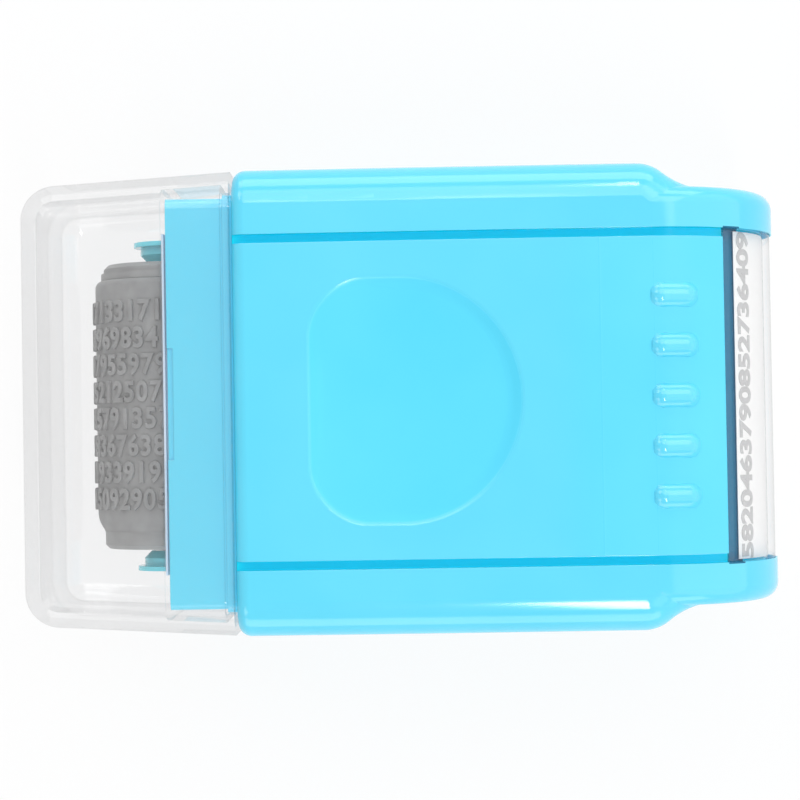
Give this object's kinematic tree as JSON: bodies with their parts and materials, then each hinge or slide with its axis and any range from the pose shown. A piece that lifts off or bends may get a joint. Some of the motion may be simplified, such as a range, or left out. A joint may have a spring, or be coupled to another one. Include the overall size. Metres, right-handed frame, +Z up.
{
  "type": "roller stamp",
  "caption": "Hand-held roller stamp: two-shell body with thumb hollow and nose window, pull-out cartridge with print and ink rollers, clear slide-off cap.",
  "frame": {"origin": "on the resting plane, under the middle of the whole length and width with the cap on", "axes": "+X along the length towards the window at the nose, +Y across to the left of the roller seen from the nose, +Z up out of the front face with the thumb hollow"},
  "size_m": [0.0948, 0.0576, 0.0348],
  "materials": {
    "body_blue": "glossy moulded sky blue",
    "window_clear": "clear moulded plastic",
    "cap_clear": "clear, faintly grey moulded plastic",
    "label_paper": "white printed strip",
    "felt": "inked felt",
    "ink_foam": "inked foam",
    "plug_grey": "soft grey",
    "axle_steel": "ground",
    "core_grey": "moulded",
    "hub_grey": "moulded",
    "stamp_rubber": "moulded rubber"
  },
  "bodies": {
    "housing": {"front_shell": "body_blue", "back_shell": "body_blue", "window_lens": "window_clear", "window_label": "label_paper"},
    "cartridge": {"neck_sleeve": "body_blue", "roller_bracket": "body_blue", "tank_lid": "body_blue", "ink_felt": "felt"},
    "plug": {"filler_plug": "plug_grey"},
    "stamp_roller": {"stamp_axle": "axle_steel", "stamp_core": "core_grey", "print_sleeve": "stamp_rubber", "left_hub": "hub_grey", "right_hub": "hub_grey"},
    "ink_roller": {"ink_axle": "axle_steel", "ink_core": "core_grey", "ink_foam": "ink_foam", "left_ink_flange": "core_grey", "right_ink_flange": "core_grey"},
    "cap": {"clear_cap": "cap_clear"}
  },
  "joints": [
    {"name": "cartridge_slide", "type": "slide", "parent": "housing", "child": "cartridge", "axis": [-1, 0, 0], "range_m": [0, 0.03]},
    {"name": "cap_slide", "type": "slide", "parent": "cartridge", "child": "cap", "axis": [-1, 0, 0], "range_m": [0, 0.03]},
    {"name": "stamp_spin", "type": "hinge", "parent": "cartridge", "child": "stamp_roller", "pos_m": [-0.03, 0, 0.01645], "axis": [0, 1, 0], "continuous": true},
    {"name": "ink_spin", "type": "hinge", "parent": "cartridge", "child": "ink_roller", "pos_m": [-0.0127, 0, 0.01645], "axis": [0, 1, 0], "continuous": true},
    {"name": "plug_pull", "type": "slide", "parent": "cartridge", "child": "plug", "axis": [1, 0, 0], "range_m": [0, 0.006]}
  ],
  "couplings": [
    {"joint": "ink_spin", "follows": "stamp_spin", "ratio": -1.4286}
  ]
}
